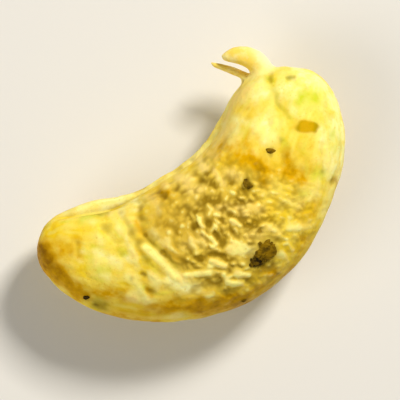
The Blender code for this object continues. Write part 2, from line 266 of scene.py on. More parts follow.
# Pale skin, and painted highlights on ridges, along the right rim and in a broad gleam on the right limb
PALE_AND_HIGHLIGHT_MARKS = (
    (1.0, 0.45, -8.9, 2.0, -8.3, 1.0, -8.0, 0.4), (0.8, 0.3, -9.6, 0.5, -9.3, 0.1),
    (0.7, 0.25, -10.7, 3.1, -10.3, 2.3), (0.7, 0.2, -9.8, 2.9, -9.6, 2.4), (0.7, 0.3, -7.3, 0.6, -6.9, -0.3),
    (0.7, 0.28, -6.4, 1.9, -6.6, 0.6), (1.0, 0.3, -5.5, 0.5, -5.2, -0.6, -4.9, -1.8, -4.5, -3.2),
    (1.1, 0.5, -5.3, -2.8, -4.5, -3.9), (1.2, 0.34, -7.6, -2.4, -7.4, -3.3),
    (0.8, 0.28, -6.3, -1.9, -6.1, -2.4), (0.9, 0.4, -4.3, 4.1, -4.5, 3.5), (0.6, 0.5, -5.5, 4.2, -5.6, 3.0),
    (0.5, 0.25, -3.0, 3.2, -3.2, 2.2), (0.6, 0.3, -4.4, 1.2, -4.2, 0.0),
    (0.7, 0.4, 0.4, -3.4, 0.9, -3.8, 1.3, -4.1), (0.6, 0.35, -4.2, -4.1, -3.7, -4.4),
    (0.3, 0.5, 5.9, -2.6, 6.3, -3.2), (0.4, 0.5, 7.4, -2.7, 7.9, -3.2),
    (1.0, 0.6, 3.6, 4.3, 4.6, 4.5, 5.6, 4.9), (1.0, 0.3, 4.7, 5.5, 5.5, 6.1),
    (0.5, 0.25, 6.3, 4.7, 6.7, 4.0), (0.8, 0.5, 7.2, 6.3, 8.2, 6.8, 7.9, 5.8),
    (1.2, 0.65, 7.5, 4.0, 7.2, 3.2, 7.0, 2.7), (0.8, 0.45, 8.9, 6.6, 8.8, 5.9),
    (0.5, 0.4, 8.2, 4.4, 8.4, 3.2), (1.2, 0.7, 9.8, 5.2, 11.4, 4.9, 10.9, 4.3),
    (1.2, 1.0, 12.0, 5.8, 13.0, 3.8, 12.8, 1.9, 12.0, 0.3),
    (1.7, 0.6, 12.0, 0.3, 11.4, -1.0, 10.6, -2.0, 10.0, -2.6), (0.5, 0.35, 9.8, -3.1, 8.8, -3.9, 7.6, -4.7),
    (1.0, 0.4, 8.8, 7.3, 9.9, 7.0), (0.7, 0.5, 10.2, 2.8, 10.0, 3.4), (0.5, 0.35, 9.9, -1.2, 9.4, -2.2),
    (0.6, 0.3, 10.4, 0.0, 10.9, 1.0), (0.8, 0.45, 10.4, 0.1, 10.7, -0.9),
)
# Warm pale patches, most of them painted highlights on bumps and along the right limb's edge to the hollow
PEACH_AND_HIGHLIGHT_MARKS = (
    (0.8, 0.35, -1.8, 3.9, -1.7, 3.6), (1.0, 0.4, -0.5, 3.7, 0.1, 3.1), (0.9, 0.36, 1.6, 4.0, 1.7, 3.3),
    (0.7, 0.4, -3.2, 3.6, -2.9, 2.9), (0.7, 0.35, 2.5, 4.2, 2.9, 3.6), (0.6, 0.3, 2.3, 2.8, 2.1, 1.6),
    (0.7, 0.4, 3.1, 1.9, 3.5, 1.3), (0.6, 0.4, -0.2, 2.4, 0.5, 2.0), (0.5, 0.45, 2.9, -1.2, 3.5, -1.7),
    (0.6, 0.4, 1.0, 0.0, 1.5, -0.3), (0.6, 0.4, 2.2, -0.9, 2.4, -1.3), (0.4, 0.4, 3.2, -3.3, 3.9, -3.9),
    (0.6, 0.4, 1.9, -3.0, 2.6, -3.3), (0.7, 0.5, -2.8, -1.0, -2.2, -1.4), (0.6, 0.3, -1.3, -1.0, -1.5, -1.8),
    (0.8, 0.4, 4.2, 4.6, 5.0, 5.0), (0.9, 0.45, 5.2, 5.8, 6.5, 6.5, 7.8, 6.9),
    (0.5, 0.4, 5.7, -4.4, 6.3, -4.8), (0.4, 0.35, -6.2, -2.4, -6.5, -2.8),
    (0.9, 0.4, -8.9, -2.1, -8.2, -2.4), (0.6, 0.25, -6.5, -5.35, -6.1, -5.5),
    (0.4, 0.4, -5.3, 2.9, -5.0, 2.4),
)
# Greenish tint, and painted greenish shade along the creases and under the left lip's edge
GREEN_AND_CREASE_SHADE_MARKS = (
    (1.0, 0.4, -8.6, 5.0, -7.8, 4.8), (0.5, 0.3, -7.1, 4.6), (0.7, 0.3, -9.7, 1.8),
    (0.8, 0.35, -9.5, 0.9, -9.0, 0.6), (0.6, 0.22, -6.7, 2.7, -6.7, 2.4), (0.6, 0.28, -7.4, 1.3, -7.2, 1.0),
    (0.5, 0.24, -9.0, 2.7, -8.5, 2.3), (0.3, 0.3, -4.95, 0.8, -4.7, -0.4, -4.35, -2.0),
    (0.3, 0.3, -6.0, -0.3, -5.8, -1.4), (0.6, 0.3, -7.5, -1.9, -7.3, -2.2),
    (0.7, 0.35, -11.2, -1.3, -10.8, -1.9), (0.6, 0.25, -10.8, -0.9, -10.5, -1.1),
    (0.2, 0.8, -3.0, -0.6, -2.2, -1.8), (1.2, 0.75, 11.1, 3.7, 11.8, 3.4), (0.6, 0.6, 11.5, 0.2, 11.2, -0.6),
    (0.7, 0.55, 8.7, -1.8, 9.1, -2.0), (0.6, 0.35, 8.0, 2.0, 8.0, 1.4), (0.4, 0.3, 8.7, 0.9, 8.8, 0.2),
    (0.8, 0.35, 9.6, 6.7, 9.9, 6.3), (0.6, 0.25, 10.9, 5.7, 11.3, 5.6),
    (0.5, 0.3, 9.5, 5.8, 9.2, 4.6, 9.2, 3.3), (0.3, 0.4, 7.8, 5.3, 7.6, 4.8),
    (0.4, 0.3, 7.1, -2.4, 7.3, -2.6),
)
# Stains round the herbs and in spots, and painted shade in pits and creases and under the left lip's edge
STAIN_AND_SHADE_MARKS = (
    (0.9, 0.75, 1.3, -4.95, 2.4, -4.7), (0.7, 0.45, 1.2, -5.7, 2.1, -5.9), (1.0, 0.36, 3.7, 0.15, 3.85, 0.6),
    (0.7, 0.35, -7.1, 4.7, -6.8, 4.6), (0.9, 0.4, -11.2, -1.2, -10.8, -1.7), (0.4, 0.3, 2.1, -6.1),
    (0.35, 0.28, 9.7, 6.5), (0.35, 0.22, 11.1, 5.65), (0.1, 0.25, 9.4, 5.6, 9.2, 4.2), (0.5, 0.3, 6.7, 1.65),
    (0.5, 0.28, -11.5, -0.45), (0.7, 0.3, -1.2, -7.2), (0.6, 0.28, -4.1, -5.2), (0.4, 0.28, -3.0, -6.0),
    (0.7, 0.25, -1.4, -0.2), (0.5, 0.2, -0.3, -0.5), (0.5, 0.22, -0.2, -1.6),
    (0.7, 0.22, -2.5, -2.5, -2.3, -2.7), (0.6, 0.2, -1.6, -2.6, -0.8, -3.2),
    (0.6, 0.2, 1.45, -3.55, 1.6, -3.7), (0.17, 1.1, -3.3, 1.9, -2.8, 0.6, -2.8, -0.4),
    (0.5, 0.26, -1.1, 1.5), (0.5, 0.22, -0.4, 1.2), (0.25, 0.24, 1.7, 1.6), (0.5, 0.24, 1.1, 2.4),
    (0.5, 0.24, 0.6, 1.0), (0.4, 0.22, 2.7, 1.6), (0.45, 0.28, 7.9, 1.9), (0.45, 0.3, 7.5, 0.6),
    (0.35, 0.28, 5.4, 1.3, 5.3, 0.8), (0.08, 0.9, -1.2, 1.3, 1.2, 1.2), (0.35, 0.2, 6.1, -0.8, 6.5, -0.9),
    (0.35, 0.2, 6.9, -1.7, 6.6, -2.0), (0.3, 0.2, 9.3, -1.9), (0.3, 0.22, 5.3, -2.5), (0.3, 0.22, 4.6, -3.3),
    (0.3, 0.22, 5.3, -3.4), (0.3, 0.26, 5.4, -5.4), (0.3, 0.24, 4.3, -6.3),
    (0.25, 0.22, 6.6, -2.3, 6.9, -2.6), (0.25, 0.2, 6.4, 3.6), (0.25, 0.18, 6.9, 5.5),
    (0.4, 0.22, -2.6, 1.0), (0.4, 0.22, 1.5, -0.9), (0.4, 0.24, -3.5, 4.1, -3.7, 3.6),
    (0.3, 0.09, 1.6, 0.3, 3.2, -0.8), (0.3, 0.09, 2.1, 0.6, 3.4, -0.4), (0.4, 0.25, -2.4, 3.6, -2.1, 3.1),
    (0.5, 0.28, 2.3, -6.7), (0.4, 0.3, 1.7, -7.4), (0.4, 0.25, 3.9, -4.6),
    (0.6, 0.2, -6.8, -1.2, -6.65, -1.4), (0.4, 0.18, -7.6, -1.0), (0.4, 0.25, 9.6, -3.0, 9.9, -3.1),
    (0.5, 0.2, -12.6, 4.35),
)

# How far the marks wander, how little one adds to others, and how uneven they are
MARK_WANDER = 0.22
MARK_JOIN = 0.6
RAGGED_NOISE = (-0.6, 0.6)
RAGGED_SHARES = (0.75, 1.25)

# Brown tip of the narrow end
BROWN_TIP = (-12.8, 4.5, -12.5, 3.6)
BROWN_TIP_SHARE = 0.3
BROWN_TIP_HALF_WIDTH = 0.6

# How dark the painted shade in the seam's groove is round the back and in the hollow, and the lip's part in
# that shade
SEAM_SHADES = (0.12, 1.0)
LIP_SEAM_SHADE_CALM = 0.7
LIP_EDGE_SHADE = 0.1

# How the fine relief paints shade and highlight on the skin: the share of level skin, and what a millimetre
# and each noise adds
LEVEL_SHADE = 0.5
RELIEF_SHADE = 3.6
NOISE_SHADES = {"medium": 0.16, "streaks": 0.08}

# How mottled the belly is, how much darker to the hollow and plainer to the back, and how few fibres it has
MOTTLE_SHADE = 0.3
DARKER_HOLLOW = 0.07
DARKER_HOLLOW_Y = (0.5, 2.0)
PLAINER_BACK = 0.6
PLAINER_BACK_Y = (1.0, -1.5)
FIBRE_CALM = 0.6

# Where the seen side begins, and the hidden side's shares: strength, and where its noise begins and is full
SEEN_LEAN = (-0.25, 0.15)
SEEN_WAVER = 0.25
HIDDEN = {"toast": (0.8, 0.05, 0.6), "pale": (0.5, 0.0, 0.6), "green": (0.5, 0.25, 0.7)}

# Golden scrap of inner skin that sticks to the upper face, and where its darker ends begin
SCRAP_MIDDLE = (10.15, 1.74)
SCRAP_HALF_LENGTH = 0.84
SCRAP_HALF_WIDTH = 0.48
SCRAP_ANGLE = math.radians(-34.0)
SCRAP_WANDER = 0.11
SCRAP_SQUARENESS = 3
SCRAP_RAGGED = 0.25
SCRAP_EDGE = (1.25, 0.75)
SCRAP_HEIGHT = 0.04
SCRAP_ENDS = (0.45, 0.85)

# A flake: its corners, its rings with their thickness, its waves, how uneven it is and how deep it is sunk
FLAKE_SIDES = 18
FLAKE_RINGS = ((0.45, 0.1), (0.8, 0.09), (1.0, 0.03))
FLAKE_WAVES = (2, 3, 5, 7)
FLAKE_WAVE_SIZES = (0.2, 0.5)
FLAKE_RAGGED = (0.96, 1.04)
FLAKE_LIFTS = (-0.02, 0.03)
FLAKE_SUNK = 0.03
FLAKE_MIDDLE = 0.1

# Herb flakes seen on the upper face: place, half length, half width, how they lie in degrees, and how pale
FLAKES = (
    (2.1, -4.75, 0.74, 0.46, 8.0, 0.9), (2.45, -4.4, 0.5, 0.32, 10.0, 0.7),
    (1.15, -5.05, 0.48, 0.36, -20.0, 0.15), (6.74, 1.67, 0.34, 0.22, -40.0, 0.8),
    (3.72, 0.5, 0.4, 0.26, 60.0, 0.5), (3.9, 0.15, 0.2, 0.16, 10.0, 0.7),
    (-11.55, -0.42, 0.28, 0.21, 0.0, 0.1), (-1.2, -7.15, 0.22, 0.13, 10.0, 0.6),
)

# Crumbs heaped over the largest flakes: their lines, how many lie on each and how far they stray
HEAP_LINES = (
    (0.85, -4.95, 1.8, -4.75, 2.4, -4.4), (2.1, -4.35, 2.8, -4.3, 2.85, -5.2),
    (1.0, -5.1, 1.9, -5.2, 2.6, -5.0),
)
HEAP_CRUMBS = 15
HEAP_SPREAD = 0.15

# Crumbs: their sizes and lifts, the darkest place, and how much paler they get from there
CRUMB_LENGTHS = (0.12, 0.36)
CRUMB_PROPORTIONS = (0.5, 0.9)
CRUMB_LIFTS = (0.0, 0.09)
HEAP_CORE = (1.12, -5.08)
HEAP_PALER = 0.8
CRUMB_SHADES = (-0.15, 0.25)

# How much of the grains the heap takes away, and how far to each side of its lines
HEAP_CALM = 0.75
HEAP_CALM_WIDTH = 0.55

# Herb flakes on the hidden sides: how many, where along the bow and round it, and how large
HIDDEN_FLAKES = 15
HIDDEN_FLAKE_PLACES = (-11.5, 11.5)
HIDDEN_FLAKE_TURNS = (math.radians(205.0), math.radians(335.0))
HIDDEN_FLAKE_LENGTHS = (0.1, 0.7)
HIDDEN_FLAKE_PROPORTIONS = (0.45, 0.85)

# Distance from which places on the skin are sought
RAY_START = 20.0

# The view: straight down, rolled so that the kernel leans as in the picture, its width at the seam's height
VIEW_ROLL = math.radians(-32.0)
VIEW_DISTANCE = 0.40
VIEW_WIDTH = 0.0315
SENSOR_WIDTH = 36.0
NEAREST_SEEN = 0.001

# Lights: how far right, up and towards the camera each stands, its size and its power
LIGHTS = {
    "key": (0.19, 0.258, 0.32, 0.10, 2.03),
    "fill": (-0.30, -0.18, 0.28, 0.30, 0.80),
}
LIGHT_COLOUR = (1.0, 0.96, 0.88)
SKY = {"Color": (1.0, 0.97, 0.92, 1.0), "Strength": 0.2}
FLOOR_SIZE = 2.0

# Highest level of a screen colour
FULL_LEVEL = 255.0


def linear(*levels):
    """Linear colour of a screen colour given from 0 to 255."""
    screen = Color([level / FULL_LEVEL for level in levels])
    return (*screen.from_srgb_to_scene_linear(), 1.0)


LEMON = linear(247, 212, 40)
# Pale yellow, also painted highlights
PALE_AND_HIGHLIGHT = linear(252, 246, 162)
GOLD = linear(220, 168, 2)
AMBER = linear(236, 190, 36)
# Toasted brown, also painted shade at the lower edge and the narrow end
TOAST_AND_SHADE_BROWN = linear(164, 115, 0)
STRAW = linear(252, 236, 112)
OLIVE = linear(221, 187, 72)
GREEN = linear(208, 212, 52)
# Crest: painted highlight on the relief's crests. Valley: painted shade in its hollows.
CREST_HIGHLIGHT = linear(255, 244, 140)
# Warm pale colour, mostly painted highlight
PEACH_HIGHLIGHT = linear(252, 222, 122)
VALLEY_SHADE = linear(134, 103, 0)
SCRAP = linear(206, 162, 0)
SCRAP_DARK = linear(176, 146, 2)
CREAM = linear(255, 248, 190)
NIB_TIP = linear(247, 216, 94)
# Dark stain colour, also the painted shade of pits and creases
STAIN_AND_SHADE = linear(104, 78, 0)
# Painted shade of the seam's groove and under the lip's edge, also the narrow end's brown tip
SEAM_SHADE_AND_TIP_BROWN = linear(112, 66, 4)
GLOSS_TINT = linear(255, 236, 160)
HERB_DARK = linear(36, 24, 0)
HERB_OLIVE = linear(138, 106, 2)
FLOOR = linear(226, 224, 220)

# Textures of the skin and the herb: scale, detail and roughness
SKIN_TEXTURES = {
    "blotches": (420.0, 4.0, 0.6),
    "patches": (850.0, 3.0, 0.6),
    "mottle": (1500.0, 3.0, 0.6),
    "specks": (4200.0, 2.0, 0.6),
    "pores": (3600.0, 3.0, 0.65),
}
HERB_TEXTURE = (2400.0, 3.0, 0.6)

# Ranges of a texture or a share, and what they become
PALE_BREAKS = (0.36, 0.6, 0.35, 1.0)
TOAST_BREAKS = (0.3, 0.7, 0.65, 1.35)
NIB_BREAKS = (0.3, 0.55, 0.35, 1.0)
NIB_SPOTS = (0.55, 0.7, 0.0, 0.7)
SCRAP_SPOTS = (0.5, 0.66, 0.0, 0.6)
CREST_HIGHLIGHTS = (0.5, 0.78, 0.0, 1.0)
WARM_CREST_HIGHLIGHTS = (0.45, 0.6, 0.0, 0.8)
WITHOUT_TOAST = (0.0, 1.0 / 0.7, 1.0, 0.0)
SKIN_ROUGHNESS = (0.3, 0.7, 0.42, 0.6)
HERB_CHANGES = (0.35, 0.65, -0.45, 0.45)

# Colours over the lemon yellow, under and over the painted crest highlights: what each follows, where that
# begins and is full, how much the colour then covers, and the colour
LOWER_LAYERS = (
    ("blotches", 0.42, 0.64, 0.7, STRAW),
    ("mottle", 0.5, 0.68, 0.45, AMBER),
    ("belly", 0.0, 1.0 / 0.9, 1.0, OLIVE),
    # Pale skin and painted highlights
    ("broken pale", 0.0, 1.0, 1.0, PALE_AND_HIGHLIGHT),
    # Warm pale patches, mostly painted highlights
    ("peach_and_highlight", 0.0, 1.0 / 0.9, 1.0, PEACH_HIGHLIGHT),
    ("fibre", 0.1, 0.6, 0.6, STRAW),
    ("fibre", -0.15, -0.6, 0.35, GREEN),
    ("green", 0.0, 1.25, 1.0, GREEN),
    # Toasted gold and brown, and painted shade along the lower edge and at the narrow end
    ("broken toast", 0.0, 0.85, 1.0, GOLD),
    ("broken toast", 0.8, 2.0, 1.0, TOAST_AND_SHADE_BROWN),
    # Painted shade in the relief's hollows
    ("relief", 0.45, 0.05, 0.85, VALLEY_SHADE),
)
UPPER_LAYERS = (
    ("specks", 0.62, 0.74, 0.4, GOLD),
    # Stains, and painted shade in pits, creases and under the left lip's edge
    ("stain_and_shade", 0.0, 1.25, 1.0, STAIN_AND_SHADE),
    # Painted shade in the seam's groove and under the edge over the lip, with the narrow end's brown tip
    ("seam_shade_and_brown_tip", 0.0, 1.0 / 0.7, 1.0, SEAM_SHADE_AND_TIP_BROWN),
)

# Finish of each material, and the skin's pores
SKIN_FINISH = {
    "Subsurface Weight": 0.06,
    "Subsurface Radius": (1.0, 0.6, 0.1),
    "Subsurface Scale": 0.0006,
    "Specular IOR Level": 0.055,
    "Specular Tint": GLOSS_TINT,
}
HERB_FINISH = {"Roughness": 0.75, "Specular IOR Level": 0.1}
FLOOR_FINISH = {"Base Color": FLOOR, "Roughness": 0.7}
PORES = {"Strength": 0.5, "Distance": 0.00009}

# Sockets of a mix node that are colours
MIX_FIRST = 6
MIX_SECOND = 7
MIX_RESULT = 2


def ramp(low, high, values):
    """Smooth step from 0 at low to 1 at high."""
    share = np.clip((values - low) / (high - low), 0.0, 1.0)
    return share * share * (3.0 - 2.0 * share)


def hump(distance, half_width):
    """Soft rounded ridge profile: 1 on its line, fading to 0 at about twice its half width."""
    return np.exp(-(distance / half_width) ** 2)


def lumps(places, size, seed):
    """Smooth noise, about -1 to 1, with lumps of one size, or of one for each axis."""
    scaled = places / np.array(size) + SEED_STEP * seed
    return np.array([noise.noise(point) for point in scaled.tolist()])


def chance(column, row, seed):
    """Number from 0 to 1 for a cell, the same each time."""
    mixed_up = column * CHANCE_STEPS[0] + row * CHANCE_STEPS[1] + seed * CHANCE_STEPS[2]
    scattered = np.sin(mixed_up) * CHANCE_SCALE
    return scattered - np.floor(scattered)


def chosen(limits, share):
    """Value between two limits."""
    return limits[0] + (limits[1] - limits[0]) * share


def pairs(line):
    """Points of a line given by x and y in turn."""
    return list(zip(line[::2], line[1::2]))


def distance_to_line(x, y, line):
    """Shortest distance, seen from above, to a line of straight pieces, or to one point."""
    points = pairs(line)
    nearest = np.hypot(x - line[0], y - line[1])
    for start, end in zip(points, points[1:]):
        step_x = end[0] - start[0]
        step_y = end[1] - start[1]
        share = ((x - start[0]) * step_x + (y - start[1]) * step_y) / (step_x ** 2 + step_y ** 2)
        share = np.clip(share, 0.0, 1.0)
        away = np.hypot(x - start[0] - step_x * share, y - start[1] - step_y * share)
        nearest = np.minimum(nearest, away)
    return nearest


def bow(x):
    """The bow's y and its slope at x."""
    past = x - BOW_BOTTOM_X
    return BOW_BOTTOM_Y + BOW_RISE * past ** 2, 2.0 * BOW_RISE * past


def bow_place(x, y):
    """Where places lie by the bow: their foot on it, and the distance from there to the hollow."""
    foot = x
    for _ in range(FOOT_ROUNDS):
        middle_y, slope = bow(foot)
        rise = middle_y - y
        foot = foot - (foot - x + rise * slope) / (1.0 + slope ** 2 + 2.0 * BOW_RISE * rise)
    middle_y, slope = bow(foot)
    return foot, (y - middle_y - slope * (x - foot)) / np.sqrt(1.0 + slope ** 2)


def patch(x, y, oval):
    """Broad oval patch: 1 in the middle, fading at its reach."""
    middle_x, middle_y, reach_x, reach_y = oval
    return np.exp(-(((x - middle_x) / reach_x) ** 2 + ((y - middle_y) / reach_y) ** 2) ** 2)


def nib_share(x, y):
    """1 on the nib and the flap, fading to 0 round their roots."""
    past = (y - NIB_ROOT[1]) + NIB_ROOT_SLOPE * (x - NIB_ROOT[0])
    return ramp(*NIB_ROOT_FADE, past) * ramp(*NIB_REACH, np.abs(x - NIB_MIDDLE_X))


def grains(x, y, step, half_lengths, half_widths, spread):
    """Height from 0 to 1 of spindle-shaped grains that turn along the bow, rounder at the hollow."""
    top = np.zeros_like(x)
    column = np.floor(x / step)
    row = np.floor(y / step)
    for across in NEAR_CELLS:
        for up in NEAR_CELLS:
            cell_x = column + across
            cell_y = row + up
            middle_x = (cell_x + chance(cell_x, cell_y, 1)) * step
            middle_y = (cell_y + chance(cell_x, cell_y, 2)) * step
            turned = np.maximum(ramp(*TURN_TO_BACK_Y, middle_y), ramp(*TURN_TO_NIB_X, middle_x))
            angle = GRAIN_ANGLE + GRAIN_TURN * turned
            angle = angle + spread * (chance(cell_x, cell_y, 3) - 0.5)
            rounder = ramp(*ROUNDER_Y, middle_y)
            half_length = chosen(half_lengths, chance(cell_x, cell_y, 4)) * (1.0 - ROUNDER_SHORTER * rounder)
            half_width = chosen(half_widths, chance(cell_x, cell_y, 5)) * (1.0 + ROUNDER_WIDER * rounder)
            height = chosen(GRAIN_HEIGHTS, chance(cell_x, cell_y, 6))
            past_x = x - middle_x
            past_y = y - middle_y
            along = (past_x * np.cos(angle) + past_y * np.sin(angle)) / half_length
            beside = (past_y * np.cos(angle) - past_x * np.sin(angle)) / half_width
            top = np.maximum(top, height * np.exp(-(along ** 2 + beside ** 2)))
    return top


def grain_relief(x, y, sunk):
    """Heights of the long and the small grains together, a share of them sunk in the skin."""
    long_ones = LONG_GRAIN_HEIGHT * (grains(x, y, *LONG_GRAINS) - sunk)
    return long_ones + SMALL_GRAIN_HEIGHT * (grains(x, y, *SMALL_GRAINS) - sunk)


class Skin:
    """The skin at many places, in millimetres: its fine relief, and the shares that colour it."""

    def __init__(self, places, normals):
        self.x, self.y, z = places.T
        self.upward = normals[:, 2]
        foot, side = bow_place(self.x, self.y)
        self.coordinates = {
            "frame": places,
            "bow": np.column_stack((foot, side, z)),
            "leaning": np.column_stack((self.x + FOLD_LEAN * self.y, self.y, z)),
        }
        self.noise = {name: self.make_noise(name) for name in NOISE}
        self.upper = ramp(*FACE_LEAN, self.upward)
        self.under = ramp(*FACE_LEAN, -self.upward)
        self.on_nib = nib_share(self.x, self.y)
        faint_grains = FAINT_GRAIN_SHARE * patch(self.x, self.y, FAINT_GRAIN_PATCH)
        self.grainy = np.maximum(patch(self.x, self.y, GRAIN_PATCH), faint_grains)
        self.folded = patch(self.x, self.y, FOLD_PATCH)
        self.relief = self.fine_relief()
        self.scrap, self.scrap_along = self.scrap_place()

        self.hollow = ramp(*HOLLOW_SIDE, side)
        self.seam_height = z - SEAM_WAVE * self.noise["seam wave"]
        self.seam = hump(self.seam_height, SEAM_HALF_WIDTH) * ramp(*SEAM_FADE, np.abs(self.upward))
        self.left_lip = ramp(*LIP_LEFT_X, self.x)
        self.right_lip = ramp(*LIP_RIGHT_X, self.x)
        self.sideways = self.hollow * ramp(*LIP_FADE, np.abs(self.upward))
        self.shown_lip = self.sideways * (self.left_lip + LIP_RIGHT_SHARE * self.right_lip)

    def make_noise(self, name):
        """The noise of that name at every place."""
        kind, size, seed, *finer = NOISE[name]
        values = lumps(self.coordinates[kind], size, seed)
        if finer:
            share, size, seed = finer
            values = values + share * lumps(self.coordinates[kind], size, seed)
        return values

    def noise_sum(self, shares):
        """Noises by name, each times its share, added up."""
        return sum(share * self.noise[name] for name, share in shares.items())

    def distance(self, line, wander):
        """Distance from a line that wanders by a share of how far the marks do."""
        x = self.x + wander * MARK_WANDER * self.noise["wander x"]
        y = self.y + wander * MARK_WANDER * self.noise["wander y"]
        return distance_to_line(x, y, line)

    def placed_relief(self):
        """Ridges, creases, bumps and pits of the upper face, each along its own line."""
        placed = sum(height * hump(self.distance(line, RELIEF_WANDER), half_width)
                     for height, half_width, *line in RELIEF_LINES)
        return placed * (1.0 + RELIEF_UNEVEN * self.noise["placed"])

    def upper_relief(self, bent_x):
        """Grains and folds of the upper face, which give way to the single ridges and the herb heap."""
        placed = self.placed_relief()
        left = 1.0 - CROWDING * np.clip(np.abs(placed) / CROWDING_HEIGHT, 0.0, 1.0)
        for line in HEAP_LINES:
            left = left * (1.0 - HEAP_CALM * hump(self.distance(line, 0.0), HEAP_CALM_WIDTH))
        grained = grain_relief(bent_x, self.y, UPPER_GRAINS_SUNK)
        grained = grained * (1.0 - HOLLOW_CALM * ramp(*HOLLOW_CALM_Y, self.y))
        relief = (self.grainy + UPPER_FOLD_GRAINS * self.folded) * left * grained
        return relief + UPPER_FOLD_HEIGHT * self.folded * left * self.noise["upper folds"] + placed

    def under_relief(self, bent_x):
        """Grains and folds of the lower face."""
        grained = grain_relief(bent_x + SHIFT_BELOW[0], self.y + SHIFT_BELOW[1], UNDER_GRAINS_SUNK)
        relief = (UNDER_GRAINS * self.grainy + UNDER_FOLD_GRAINS * self.folded) * grained
        return relief + UNDER_FOLD_HEIGHT * self.folded * self.noise["lower folds"]

    def fine_relief(self):
        """The relief that also shades the skin, of the upper face, the lower face and the flank."""
        bent_x = self.x + GRAIN_BEND * self.noise["grain bend"]
        flank = 1.0 - self.upper - self.under
        relief = self.upper * self.upper_relief(bent_x) + self.under * self.under_relief(bent_x)
        return relief + FLANK_FOLD_HEIGHT * flank * self.noise["flank folds"]

    def scrap_place(self):
        """Share of the scrap of inner skin, and how far along it places lie, 1 at its ends."""
        past_x = self.x + SCRAP_WANDER * self.noise["wander x"] - SCRAP_MIDDLE[0]
        past_y = self.y + SCRAP_WANDER * self.noise["wander y"] - SCRAP_MIDDLE[1]
        across = math.cos(SCRAP_ANGLE)
        up = math.sin(SCRAP_ANGLE)
        along = np.abs(past_x * across + past_y * up) / SCRAP_HALF_LENGTH
        beside = np.abs(past_y * across - past_x * up) / SCRAP_HALF_WIDTH
        away = (along ** SCRAP_SQUARENESS + beside ** SCRAP_SQUARENESS) ** (1.0 / SCRAP_SQUARENESS)
        return ramp(*SCRAP_EDGE, away + SCRAP_RAGGED * self.noise["small"]) * self.upper, along

    def lip_height(self):
        """How far the lower half's lip stands out and the upper half's edge draws back."""
        rise = self.sideways * (LIP_HEIGHT * self.left_lip - LIP_RIGHT_DEPTH * self.right_lip)
        height = rise * hump(self.seam_height - LIP_MIDDLE, LIP_HALF_WIDTH)
        return height - self.shown_lip * EDGE_DEPTH * hump(self.seam_height - EDGE_MIDDLE, EDGE_HALF_WIDTH)

    def heights(self):
        """How far the skin stands out from the solid's, or in if below 0."""
        seam_depth = chosen((SEAM_DEPTH_BACK, SEAM_DEPTH_HOLLOW), self.hollow)
        seam_depth = seam_depth * (1.0 - LIP_SEAM_CALM * self.left_lip)
        height = self.relief + self.noise_sum(KERNEL_HEIGHTS) - seam_depth * self.seam + self.lip_height()
        height = height - DENT_DEPTH * ramp(*DENT_NOISE, self.noise["dents"]) * (1.0 - self.grainy)
        height = height * (1.0 - self.on_nib) + self.noise_sum(NIB_HEIGHTS) * self.on_nib
        return height + SCRAP_HEIGHT * self.scrap

    def marked(self, marks):
        """Share of soft marks that wander and are broken up."""
        total = np.zeros_like(self.x)
        for strength, half_width, *line in marks:
            mark = strength * hump(self.distance(line, 1.0), half_width)
            total = total + mark * np.clip(1.0 - MARK_JOIN * total, 0.0, 1.0)
        return total * chosen(RAGGED_SHARES, ramp(*RAGGED_NOISE, self.noise["ragged"]))

    def seam_shade_and_tip_share(self):
        """Painted shade in the seam's groove and under the edge over the lip, and the narrow end's browner
        tip.
        """
        brown = BROWN_TIP_SHARE * hump(self.distance(BROWN_TIP, 1.0), BROWN_TIP_HALF_WIDTH) * self.upper
        seam = self.seam * chosen(SEAM_SHADES, self.hollow) * (1.0 - LIP_SEAM_SHADE_CALM * self.left_lip)
        return seam + LIP_EDGE_SHADE * self.shown_lip + brown

    def relief_shade_share(self):
        """Painted shade and highlight from the fine relief: 0 in the deepest hollows, 1 on the highest
        crests.
        """
        mottle = MOTTLE_SHADE * self.noise["mottle"] - DARKER_HOLLOW * ramp(*DARKER_HOLLOW_Y, self.y)
        mottle = self.folded * mottle * (1.0 - PLAINER_BACK * ramp(*PLAINER_BACK_Y, self.y))
        share = LEVEL_SHADE + RELIEF_SHADE * self.relief + self.noise_sum(NOISE_SHADES) + mottle
        return np.clip(share, 0.0, 1.0)

    def shares(self):
        """The shares that colour the skin, by name."""
        seen = ramp(*SEEN_LEAN, self.upward + SEEN_WAVER * self.noise["seen"])
        hidden = {name: strength * (1.0 - seen) * ramp(begins, full, self.noise["hidden " + name])
                  for name, (strength, begins, full) in HIDDEN.items()}
        lip = self.sideways * hump(self.seam_height - LIP_MIDDLE, PALE_LIP_HALF_WIDTH)
